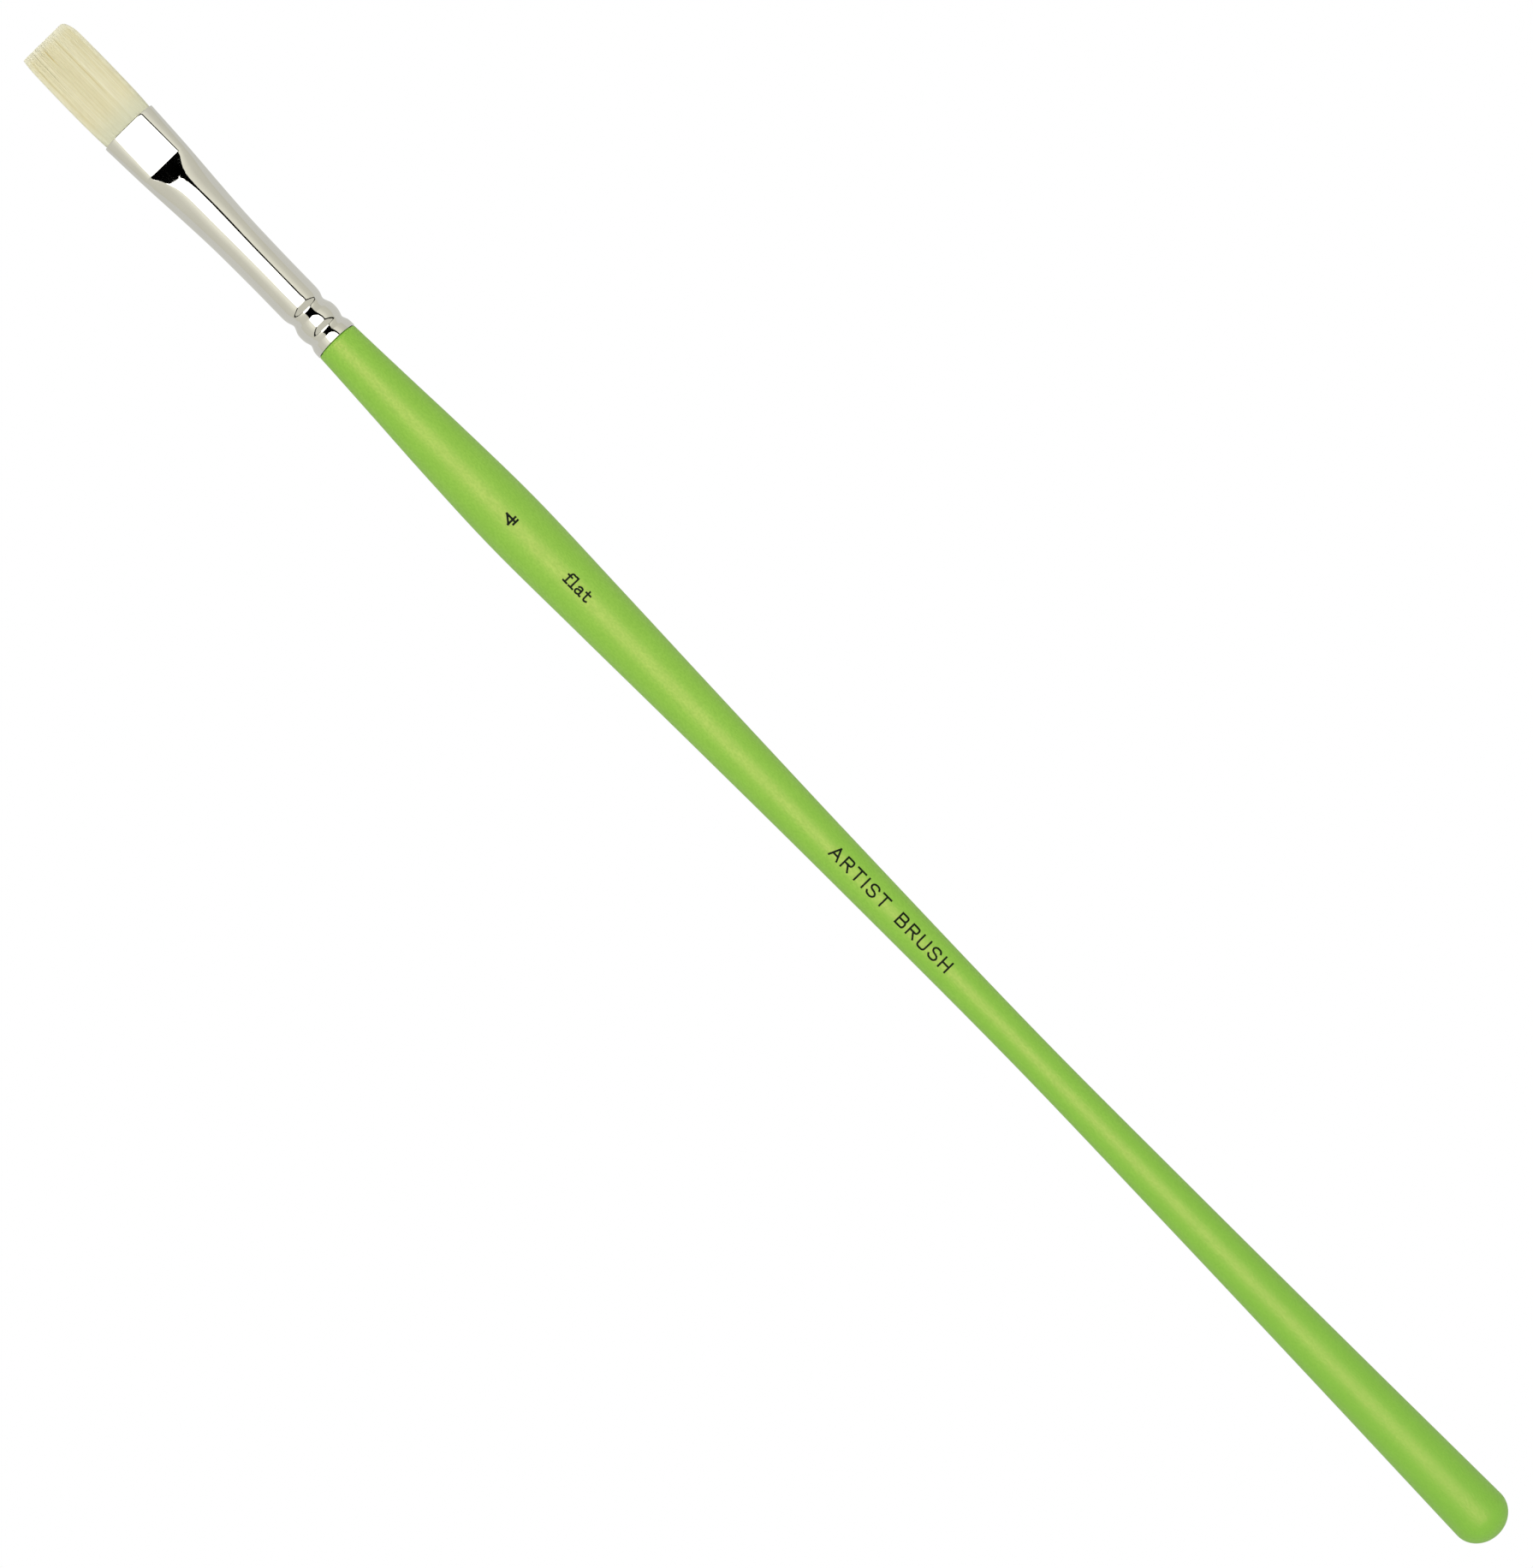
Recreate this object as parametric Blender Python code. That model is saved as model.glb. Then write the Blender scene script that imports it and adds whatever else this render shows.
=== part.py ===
"""Artist's flat brush with a long handle: turned handle, pressed ferrule, resin plug and tuft.

Metres, +Z up. The brush lies along X with its tuft towards +X. Z = 0 is the surface that the
handle's belly lies on, and the origin is under the middle of the brush. Places along the brush
are stations: millimetres back from the tip of the tuft.
"""
from math import cos, pi, sin, sqrt

import bmesh
import bpy

MM = 0.001

# Whole brush
OVERALL = 311.6                 # tip of the tuft to the end of the handle
AXIS_HEIGHT = 4.97              # the belly's radius, so the belly just touches Z = 0
GAP = 0.15                      # left between pieces that touch on the real brush

# Handle: turned wood, with a tenon that the ferrule is crimped onto
HANDLE_SIDES = 24
HANDLE_OUTLINE = [              # station, radius: shoulder, belly, waist, butt
    (62.65, 3.48), (74.0, 4.0), (86.4, 4.58), (100.7, 4.97), (118.0, 4.62), (143.0, 4.0),
    (172.0, 3.39), (210.0, 2.93), (243.0, 3.30), (275.0, 3.86), (307.6, 4.55),
]
HANDLE_STEPS = 3                # rings between two outline points
BUTT_ROUNDING = 4.0             # length of the rounded end
BUTT_RINGS = 5
BUTT_FLAT = 0.9                 # radius of the small flat that the rounding ends in
TENON_START = 41.0
TENON_CHAMFER = 0.8

# Ferrule: seamless plated tube, pressed flat at the mouth and crimped at the handle
FERRULE_SIDES = 40
MOUTH = 18.1
CREASE = 26.0                   # end of the flat panel
ROUND_FROM = 35.0               # the pressing has run out by here
SHOULDER = 55.2                 # start of the crimps
WALL = 0.35
FERRULE_OUTLINE = [             # station, half width
    (MOUTH, 4.78), (CREASE, 4.43), (33.3, 3.97), (40.0, 3.62), (48.0, 3.46), (SHOULDER, 3.43),
]
GIRTH_AT_CREASE = 3.49          # radius that the wall's girth would have as a plain round tube
GIRTH_AT_SHOULDER = 3.43
PANEL_HALF_THICKNESS = 1.78
PANEL_HALF_WIDTH_MOUTH = 2.80
PANEL_HALF_WIDTH_CREASE = 3.07
RAMP_SLOPE = 0.30               # rise of the ramp behind the crease, per millimetre
RAMP_KNEE = 0.35                # height over which the ramp blends into the round tube
CRIMPS = [                      # station, radius: first groove, bead, second groove, lip
    (55.8, 3.30), (56.6, 3.04), (57.2, 3.25), (57.9, 3.48), (58.6, 3.55), (59.2, 3.52),
    (59.9, 3.33), (60.7, 3.20), (61.3, 3.42), (61.9, 3.60), (62.5, 3.62),
]

# Tuft: a flat bundle of filaments, bending in front of the mouth and again half way out
TUFT_SIDES = 28
ROOT_FRONT = 17.9
ROOT_NECK = 27.6                # behind this the filaments are potted in resin
ROOT_END = 31.0
ROOT_POTTED = (3.00, 1.20)      # half width and half thickness of the potted filaments
BELLY_HINGE = 16.5
BELLY_ROUND = 1.25              # radius of the belly's rounded back, about its hinge
BELLY_FRONT = 10.65
TIP_HINGE = 9.5
TIP_ROUND = 1.00
HINGE_RINGS = 6
TUFT_OUTLINE = [                # station, half width, half thickness
    (0.0, 4.20, 0.40), (0.7, 4.42, 0.46), (2.2, 4.55, 0.58), (TIP_HINGE, 4.64, TIP_ROUND),
    (BELLY_FRONT, 4.64, 1.04), (BELLY_HINGE, 4.58, BELLY_ROUND),
]

# Resin plug: a cup of cured resin that holds the roots of the filaments
PLUG_FRONT = 27.9
PLUG_END = 36.0
POCKET_CLEARANCE = 0.15
POCKET_END = ROOT_END + 0.3


def remove_all_objects():
    for old in list(bpy.data.objects):
        bpy.data.objects.remove(old, do_unlink=True)


def curve_through(points, station, column=1):
    """Value at a station on the smooth curve through (station, value, ...) points."""
    last = len(points) - 2
    piece = max(i for i in range(last + 1) if i == 0 or points[i][0] <= station)
    before, start = points[max(piece - 1, 0)], points[piece]
    end, after = points[piece + 1], points[min(piece + 2, last + 1)]
    span = end[0] - start[0]
    part = (station - start[0]) / span
    slope_in = (end[column] - before[column]) / (end[0] - before[0]) * span
    slope_out = (after[column] - start[column]) / (after[0] - start[0]) * span
    rise = end[column] - start[column]
    return (start[column] + slope_in * part + (3 * rise - 2 * slope_in - slope_out) * part ** 2
            + (slope_in + slope_out - 2 * rise) * part ** 3)


def evenly(first, last, count):
    return [first + (last - first) * i / count for i in range(count + 1)]


def at_station(station, y, z):
    """World point, in metres, of a place given from the brush's axis in millimetres."""
    return ((OVERALL / 2 - station) * MM, y * MM, (AXIS_HEIGHT + z) * MM)


def round_ring(station, radius, sides):
    """Ring of flats that all touch the radius, with one flat facing straight down."""
    corner = radius / cos(pi / sides)
    angles = [(i + 0.5) * 2 * pi / sides for i in range(sides)]
    return [at_station(station, corner * cos(a), corner * sin(a)) for a in angles]


def pressed_ring(station, half_width, half_thickness, flat, sides):
    """Ring of a tube pressed flat: straight over +-flat, elliptical at its sides."""
    side = half_width - flat
    arc = pi / 2 * sqrt((side ** 2 + half_thickness ** 2) / 2)
    quarter = []
    for i in range(sides // 4):
        run = (arc + flat) * i / (sides // 4)
        if run < arc:
            angle = pi / 2 * run / arc
            quarter.append((flat + side * cos(angle), half_thickness * sin(angle)))
        else:
            quarter.append((flat + arc - run, half_thickness))
    upper_right = quarter
    upper_left = [(-y, z) for y, z in reversed(quarter[1:])]
    top = upper_right + [(0.0, half_thickness)] + upper_left
    bottom = [(-y, -z) for y, z in top]
    return [at_station(station, y, z) for y, z in top + bottom]


def loft(name, rings, closed_ends=True):
    """One object whose skin runs through the rings, with its end rings filled."""
    bm = bmesh.new()
    loops = [[bm.verts.new(point) for point in ring] for ring in rings]
    for here, there in zip(loops, loops[1:]):
        for i, corner in enumerate(here):
            following = (i + 1) % len(here)
            bm.faces.new((corner, here[following], there[following], there[i]))
    if closed_ends:
        bm.faces.new(loops[0])
        bm.faces.new(loops[-1])
    bmesh.ops.recalc_face_normals(bm, faces=bm.faces)
    mesh = bpy.data.meshes.new(name)
    bm.to_mesh(mesh)
    bm.free()
    mesh.shade_smooth()
    mesh.set_sharp_from_angle(angle=pi / 6)
    piece = bpy.data.objects.new(name, mesh)
    bpy.context.scene.collection.objects.link(piece)
    return piece


def give_material(piece, name, colour, roughness, metallic=0.0):
    material = bpy.data.materials.new(name)
    material.use_nodes = True
    shader = material.node_tree.nodes["Principled BSDF"]
    shader.inputs["Base Color"].default_value = (*colour, 1.0)
    shader.inputs["Roughness"].default_value = roughness
    shader.inputs["Metallic"].default_value = metallic
    piece.data.materials.append(material)


def set_origin(piece, station):
    """Put the piece's origin on the brush's axis at a station, and leave its mesh in place."""
    origin = at_station(station, 0.0, 0.0)
    for vertex in piece.data.vertices:
        vertex.co = [value - centre for value, centre in zip(vertex.co, origin)]
    piece.location = origin


def ferrule_section(station):
    """Half width, half thickness and flat half width of the ferrule's outside."""
    half_width = curve_through(FERRULE_OUTLINE, station)
    if station <= CREASE:
        share = (station - MOUTH) / (CREASE - MOUTH)
        flat = PANEL_HALF_WIDTH_MOUTH + (PANEL_HALF_WIDTH_CREASE - PANEL_HALF_WIDTH_MOUTH) * share
        return half_width, PANEL_HALF_THICKNESS, flat
    share = (station - CREASE) / (SHOULDER - CREASE)
    girth = GIRTH_AT_CREASE + (GIRTH_AT_SHOULDER - GIRTH_AT_CREASE) * share
    round_height = sqrt(2 * girth ** 2 - half_width ** 2)
    ramp_height = PANEL_HALF_THICKNESS + RAMP_SLOPE * (station - CREASE)
    overlap = max(RAMP_KNEE - abs(round_height - ramp_height), 0.0) / RAMP_KNEE
    half_thickness = min(round_height, ramp_height) - overlap ** 2 * RAMP_KNEE / 4
    run_out = max(1 - (station - CREASE) / (ROUND_FROM - CREASE), 0.0)
    return half_width, half_thickness, PANEL_HALF_WIDTH_CREASE * run_out ** 2


def ferrule_bore(station, clearance):
    """The same for a piece inside the ferrule, with its clearance to the wall."""
    half_width, half_thickness, flat = ferrule_section(station)
    inset = WALL + clearance
    return half_width - inset, half_thickness - inset, flat


def make_ferrule():
    stations = evenly(MOUTH, CREASE, 2) + evenly(CREASE + 0.7, ROUND_FROM, 9)
    stations += evenly(ROUND_FROM + 2.5, SHOULDER, 6)
    rings = [pressed_ring(s, *ferrule_section(s), FERRULE_SIDES) for s in stations]
    rings += [pressed_ring(s, r, r, 0.0, FERRULE_SIDES) for s, r in CRIMPS]
    ferrule = loft("ferrule", rings, closed_ends=False)
    wall = ferrule.modifiers.new("wall", "SOLIDIFY")
    wall.thickness = WALL * MM
    wall.offset = -1.0
    wall.use_even_offset = True
    give_material(ferrule, "nickel_plate", (0.80, 0.79, 0.76), 0.08, metallic=1.0)


def handle_rings():
    """Tenon, shoulder, turned outline and rounded end, from the front back."""
    crimped = [(s, r) for s, r in [(SHOULDER, GIRTH_AT_SHOULDER)] + CRIMPS[:-1]]
    inset = WALL + GAP
    full = GIRTH_AT_SHOULDER - inset
    outline = [(TENON_START, full - TENON_CHAMFER), (TENON_START + TENON_CHAMFER, full)]
    outline += [(s, min(r - inset, full)) for s, r in crimped]
    outline.append((HANDLE_OUTLINE[0][0], full))
    for (first, _), (last, _) in zip(HANDLE_OUTLINE, HANDLE_OUTLINE[1:]):
        outline += [(s, curve_through(HANDLE_OUTLINE, s)) for s in evenly(first, last, HANDLE_STEPS)[:-1]]
    butt_start, butt_radius = HANDLE_OUTLINE[-1]
    for i in range(BUTT_RINGS):
        angle = pi / 2 * i / BUTT_RINGS
        outline.append((butt_start + BUTT_ROUNDING * sin(angle), butt_radius * cos(angle)))
    outline.append((OVERALL, BUTT_FLAT))
    return [round_ring(s, r, HANDLE_SIDES) for s, r in outline]


def make_handle():
    handle = loft("handle", handle_rings())
    give_material(handle, "green_pearl_lacquer", (0.30, 0.60, 0.08), 0.35)


def tuft_ring(station, thickness_share=1.0):
    """Ring of the free tuft, whose sides are half round."""
    half_width = curve_through(TUFT_OUTLINE, station, 1)
    half_thickness = curve_through(TUFT_OUTLINE, station, 2)
    flat = half_width - half_thickness
    return pressed_ring(station, half_width, half_thickness * thickness_share, flat, TUFT_SIDES)


def hinge_rings(station, radius):
    """Half-round back of a tuft piece, centred on its hinge."""
    last = TUFT_OUTLINE[-1][0]
    rings = []
    for i in range(1, HINGE_RINGS + 1):
        angle = pi / 2 * i / (HINGE_RINGS + 0.5)
        half_width = curve_through(TUFT_OUTLINE, min(station, last), 1)
        flat = half_width - radius
        back = station + radius * sin(angle) / sin(pi / 2 * HINGE_RINGS / (HINGE_RINGS + 0.5))
        rings.append(pressed_ring(back, half_width, radius * cos(angle), flat, TUFT_SIDES))
    return rings


def make_tuft():
    colour = (0.70, 0.64, 0.44)
    tip_stations = [0.0, 0.35, 0.7, 1.4, 2.2, 4.0, 6.0, 8.0, TIP_HINGE]
    tip = loft("tuft_tip", [tuft_ring(s) for s in tip_stations] + hinge_rings(TIP_HINGE, TIP_ROUND))
    set_origin(tip, TIP_HINGE)
    belly_rings = [tuft_ring(s) for s in evenly(BELLY_FRONT, BELLY_HINGE, 3)]
    belly = loft("tuft_belly", belly_rings + hinge_rings(BELLY_HINGE, BELLY_ROUND))
    set_origin(belly, BELLY_HINGE)
    root_rings = [pressed_ring(ROOT_FRONT, *ferrule_bore(MOUTH, GAP), TUFT_SIDES)]
    for station in evenly(MOUTH + 0.2, CREASE, 3) + [ROOT_NECK - 0.8]:
        root_rings.append(pressed_ring(station, *ferrule_bore(min(station, CREASE), GAP), TUFT_SIDES))
    potted_flat = ROOT_POTTED[0] - ROOT_POTTED[1]
    for station in (ROOT_NECK, ROOT_END):
        root_rings.append(pressed_ring(station, *ROOT_POTTED, potted_flat, TUFT_SIDES))
    root = loft("tuft_root", root_rings)
    for piece in (tip, belly, root):
        give_material(piece, piece.name + "_filaments", colour, 0.55)


def make_resin_plug():
    rings = [pressed_ring(s, *ferrule_bore(s, GAP), TUFT_SIDES) for s in evenly(PLUG_END, PLUG_FRONT, 5)]
    width, thickness = (half + POCKET_CLEARANCE for half in ROOT_POTTED)
    for station in (PLUG_FRONT, POCKET_END):
        rings.append(pressed_ring(station, width, thickness, width - thickness, TUFT_SIDES))
    plug = loft("resin_plug", rings)
    give_material(plug, "cured_resin", (0.55, 0.38, 0.15), 0.30)


remove_all_objects()
make_handle()
make_ferrule()
make_resin_plug()
make_tuft()
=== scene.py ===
"""Looks of a long-handled artist's flat brush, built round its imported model. Metres, +Z up."""
from math import atan2, cos, pi, radians, sin, sqrt

import bmesh
import bpy
import numpy as np
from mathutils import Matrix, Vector


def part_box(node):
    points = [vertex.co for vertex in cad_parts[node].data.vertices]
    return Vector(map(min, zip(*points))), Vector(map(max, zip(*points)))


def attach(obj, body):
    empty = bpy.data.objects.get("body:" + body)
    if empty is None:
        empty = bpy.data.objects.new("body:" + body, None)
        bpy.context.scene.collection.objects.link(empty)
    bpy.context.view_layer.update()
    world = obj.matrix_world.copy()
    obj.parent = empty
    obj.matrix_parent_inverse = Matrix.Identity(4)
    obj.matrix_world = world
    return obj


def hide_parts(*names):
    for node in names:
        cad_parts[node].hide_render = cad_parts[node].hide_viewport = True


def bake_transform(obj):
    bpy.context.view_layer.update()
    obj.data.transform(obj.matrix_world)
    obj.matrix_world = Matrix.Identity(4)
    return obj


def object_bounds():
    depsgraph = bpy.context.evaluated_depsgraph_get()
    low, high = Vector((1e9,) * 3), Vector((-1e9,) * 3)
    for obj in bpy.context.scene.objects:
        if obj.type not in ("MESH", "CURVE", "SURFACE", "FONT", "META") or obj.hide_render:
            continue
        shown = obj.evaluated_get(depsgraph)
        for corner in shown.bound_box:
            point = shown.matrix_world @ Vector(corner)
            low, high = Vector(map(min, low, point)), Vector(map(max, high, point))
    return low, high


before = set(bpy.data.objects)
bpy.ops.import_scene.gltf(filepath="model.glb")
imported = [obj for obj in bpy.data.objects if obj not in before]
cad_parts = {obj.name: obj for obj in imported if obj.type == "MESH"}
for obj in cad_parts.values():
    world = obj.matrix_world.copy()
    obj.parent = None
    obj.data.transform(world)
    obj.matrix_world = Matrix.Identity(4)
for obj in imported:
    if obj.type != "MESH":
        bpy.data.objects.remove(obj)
cad_low, cad_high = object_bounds()
bpy.ops.object.select_all(action="DESELECT")


# --------------------------------------------------------------------------------------------
# The handle: one stick of beech, turned on a lathe, with a bare tenon at its front for the
# ferrule. The rest is dipped in a green lacquer with a fine pearl pigment.
# --------------------------------------------------------------------------------------------

MM = 0.001
TIP_X = cad_high.x                       # the tip of the tuft; stations are mm back from it
AXIS_Z = (cad_low.z + cad_high.z) / 2
HANDLE_SIDES = 96
HANDLE_OUTLINE = [                       # station, radius: shoulder, belly, waist, butt
    (62.80, 3.51), (66.0, 3.64), (74.0, 4.0), (86.4, 4.58), (100.7, 4.965), (118.0, 4.62),
    (143.0, 4.0), (172.0, 3.39), (210.0, 2.93), (243.0, 3.30), (275.0, 3.86), (307.6, 4.55),
]
HANDLE_END = (TIP_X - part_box("handle")[0].x) / MM
TENON_END = (TIP_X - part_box("handle")[1].x) / MM
TENON_RADIUS = 2.93
TENON_TIP = [                            # back from the tenon's end face, radius
    (0.0, 0.0), (0.0, 2.2), (0.15, 2.6), (0.7, TENON_RADIUS),
]
TENON_WAISTS = [                         # where the crimps bite into the wood
    (54.9, TENON_RADIUS), (55.8, 2.80), (56.6, 2.56), (57.4, 2.80), (58.6, TENON_RADIUS),
    (59.6, 2.90), (60.6, 2.72), (61.6, TENON_RADIUS), (62.5, TENON_RADIUS),
]
SHOULDER_EDGE = [(0.0, 0.12), (0.03, 0.04)]             # back from the shoulder, short of its radius
TENON_RINGS, HANDLE_RINGS, BUTT_RINGS = 38, 150, 32
LACQUER_DEEP, LACQUER_BRIGHT = (121, 194, 60), (134, 203, 68)
# the last colour here is painted shade, mixed in towards the butt
LACQUER_CLOUD, LACQUER_BUTT_SHADE = (118, 192, 56), (108, 189, 56)
BEECH_DARK, BEECH_LIGHT = (196, 160, 116), (222, 192, 150)


def curve_piece(start, rise, slope_in, slope_out, part):
    """Value part of the way along a smooth curve that leaves and arrives at the given slopes."""
    return (start + slope_in * part + (3 * rise - 2 * slope_in - slope_out) * part ** 2
            + (slope_in + slope_out - 2 * rise) * part ** 3)


def curve_through(points, station, column=1):
    """Value at a station on the smooth curve through (station, value, ...) points."""
    last = len(points) - 2
    piece = max(i for i in range(last + 1) if i == 0 or points[i][0] <= station)
    before, start = points[max(piece - 1, 0)], points[piece]
    end, after = points[piece + 1], points[min(piece + 2, last + 1)]
    span = end[0] - start[0]
    part = (station - start[0]) / span
    slope_in = (end[column] - before[column]) / (end[0] - before[0]) * span
    slope_out = (after[column] - start[column]) / (after[0] - start[0]) * span
    return curve_piece(start[column], end[column] - start[column], slope_in, slope_out, part)


def evenly(first, last, count):
    """The ends of count equal steps, with both ends of the whole."""
    return [first + (last - first) * i / count for i in range(count + 1)]


def at_station(station, y=0.0, z=0.0):
    """World point of a place given in mm: back from the tip, and off the brush's axis."""
    return Vector((TIP_X - station * MM, y * MM, AXIS_Z + z * MM))


def turned(name, outline, sides):
    """A piece turned on a lathe: its outline is drawn point by point, then spun round the axis."""
    bpy.ops.mesh.primitive_plane_add(size=MM, location=at_station(*outline[0][:1], z=outline[0][1]))
    piece = bpy.context.object
    piece.name = piece.data.name = name
    bpy.ops.object.transform_apply(location=True, rotation=True, scale=True)
    bpy.ops.object.mode_set(mode="EDIT")
    bpy.ops.mesh.merge(type="CENTER")
    for (station, radius), (following, next_radius) in zip(outline, outline[1:]):
        step = at_station(following, z=next_radius) - at_station(station, z=radius)
        bpy.ops.mesh.extrude_vertices_move(TRANSFORM_OT_translate={"value": step})
    bpy.ops.mesh.select_all(action="SELECT")
    bpy.ops.mesh.spin(steps=sides, angle=2 * pi, center=(0, 0, AXIS_Z), axis=(1, 0, 0))
    bpy.ops.mesh.select_all(action="SELECT")
    bpy.ops.mesh.remove_doubles(threshold=0.001 * MM)
    bpy.ops.mesh.normals_make_consistent(inside=False)
    bpy.ops.object.mode_set(mode="OBJECT")
    return piece


def handle_radius(station):
    """Radius of the lacquered stretch, with its rounded end."""
    butt_start, butt_radius = HANDLE_OUTLINE[-1]
    if station <= butt_start:
        return curve_through(HANDLE_OUTLINE, station)
    return butt_radius * sqrt(max(1 - ((station - butt_start) / (HANDLE_END - butt_start)) ** 2, 0))


def handle_outline():
    """Outline from the tenon's end face to the butt's pole."""
    outline = [(TENON_END + back, radius) for back, radius in TENON_TIP]
    outline += [(s, TENON_RADIUS) for s in evenly(45.0, 54.0, 3)]
    waists = evenly(TENON_WAISTS[0][0], TENON_WAISTS[-1][0], TENON_RINGS)
    outline += [(s, min(curve_through(TENON_WAISTS, s), TENON_RADIUS)) for s in waists]
    shoulder, shoulder_radius = HANDLE_OUTLINE[0]
    outline += [(shoulder, TENON_RADIUS), (shoulder, 3.2)]
    outline += [(shoulder + back, shoulder_radius - short) for back, short in SHOULDER_EDGE]
    outline.append((shoulder + 0.10, handle_radius(shoulder + 0.1)))
    butt_start = HANDLE_OUTLINE[-1][0]
    outline += [(s, handle_radius(s)) for s in evenly(shoulder + 0.6, butt_start, HANDLE_RINGS)]
    for i in range(1, BUTT_RINGS + 1):
        station = butt_start + (HANDLE_END - butt_start) * sin(pi / 2 * i / BUTT_RINGS)
        outline.append((station, handle_radius(station)))
    return outline


def new_group(name, inputs, outputs):
    """An empty shader node group with float inputs and outputs, and its end nodes."""
    group = bpy.data.node_groups.new(name, "ShaderNodeTree")
    for socket, value in inputs.items():
        made = group.interface.new_socket(socket, in_out="INPUT", socket_type="NodeSocketFloat")
        made.default_value = value
    for socket in outputs:
        group.interface.new_socket(socket, in_out="OUTPUT", socket_type="NodeSocketFloat")
    return group, group.nodes.new("NodeGroupInput"), group.nodes.new("NodeGroupOutput")


def math_node(tree, operation, first, second=None, third=None, clamp=False):
    """A math node whose inputs are sockets or plain numbers; gives its output."""
    node = tree.nodes.new("ShaderNodeMath")
    node.operation = operation
    node.use_clamp = clamp
    for socket, value in zip(node.inputs, (first, second, third)):
        if value is None:
            continue
        if isinstance(value, (int, float)):
            socket.default_value = value
        else:
            tree.links.new(value, socket)
    return node.outputs[0]


def range_node(tree, value, low, high, to_low=0.0, to_high=1.0, smooth=False):
    """Value moved from the range low to high onto the range to_low to to_high, and held inside it."""
    node = tree.nodes.new("ShaderNodeMapRange")
    node.interpolation_type = "SMOOTHSTEP" if smooth else "LINEAR"
    for socket, number in zip(("From Min", "From Max", "To Min", "To Max"), (low, high, to_low, to_high)):
        if isinstance(number, (int, float)):
            node.inputs[socket].default_value = number
        else:
            tree.links.new(number, node.inputs[socket])
    tree.links.new(value, node.inputs["Value"])
    return node.outputs["Result"]


def colour_mix(tree, factor, first, second):
    """Mix of two colours, each a socket or an RGB tuple."""
    node = tree.nodes.new("ShaderNodeMix")
    node.data_type = "RGBA"
    for socket, value in ((node.inputs[6], first), (node.inputs[7], second)):
        if isinstance(value, tuple):
            socket.default_value = (*value, 1.0)
        else:
            tree.links.new(value, socket)
    if isinstance(factor, (int, float)):
        node.inputs[0].default_value = factor
    else:
        tree.links.new(factor, node.inputs[0])
    return node.outputs[2]


def grain_group():
    """Grain: noise on object coordinates, in features per mm, drawn out along the brush."""
    group, inside, outside = new_group(
        "grain", {"Per mm": 4.0, "Stretch": 1.0, "Detail": 2.0, "Contrast": 1.0}, ["Grain"])
    place = group.nodes.new("ShaderNodeTexCoord")
    split = group.nodes.new("ShaderNodeSeparateXYZ")
    group.links.new(place.outputs["Object"], split.inputs[0])
    join = group.nodes.new("ShaderNodeCombineXYZ")
    along = math_node(group, "DIVIDE", split.outputs[0], inside.outputs["Stretch"])
    group.links.new(along, join.inputs[0])
    group.links.new(split.outputs[1], join.inputs[1])
    group.links.new(split.outputs[2], join.inputs[2])
    noise = group.nodes.new("ShaderNodeTexNoise")
    group.links.new(join.outputs[0], noise.inputs["Vector"])
    group.links.new(math_node(group, "MULTIPLY", inside.outputs["Per mm"], 1000.0), noise.inputs["Scale"])
    group.links.new(inside.outputs["Detail"], noise.inputs["Detail"])
    centred = math_node(group, "SUBTRACT", noise.outputs[0], 0.5)
    spread = math_node(group, "MULTIPLY", centred, inside.outputs["Contrast"])
    group.links.new(math_node(group, "ADD", spread, 0.5, clamp=True), outside.inputs["Grain"])
    return group


GRAIN = grain_group()


def grain(tree, per_mm, stretch=1.0, detail=2.0, contrast=1.0):
    """The grain group with its own values; gives its mask."""
    node = tree.nodes.new("ShaderNodeGroup")
    node.node_tree = GRAIN
    node.inputs["Per mm"].default_value = per_mm
    node.inputs["Stretch"].default_value = stretch
    node.inputs["Detail"].default_value = detail
    node.inputs["Contrast"].default_value = contrast
    return node.outputs["Grain"]


def bump(tree, height, distance_mm):
    """Normal of a surface that a mask raises by up to distance_mm."""
    node = tree.nodes.new("ShaderNodeBump")
    node.inputs["Distance"].default_value = distance_mm * MM
    node.inputs["Strength"].default_value = 1.0
    tree.links.new(height, node.inputs["Height"])
    return node.outputs["Normal"]


def new_material(name, **settings):
    """A material with one Principled shader, its plain settings given by socket name."""
    material = bpy.data.materials.new(name)
    material.use_nodes = True
    tree = material.node_tree
    shader = tree.nodes["Principled BSDF"]
    for socket, value in settings.items():
        shader.inputs[socket.replace("_", " ")].default_value = value
    return material, tree, shader


def srgb(red, green, blue):
    """Linear colour of an 8-bit display colour."""
    return tuple((c / 255 / 12.92) if c <= 10 else ((c / 255 + 0.055) / 1.055) ** 2.4
                 for c in (red, green, blue))


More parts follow.
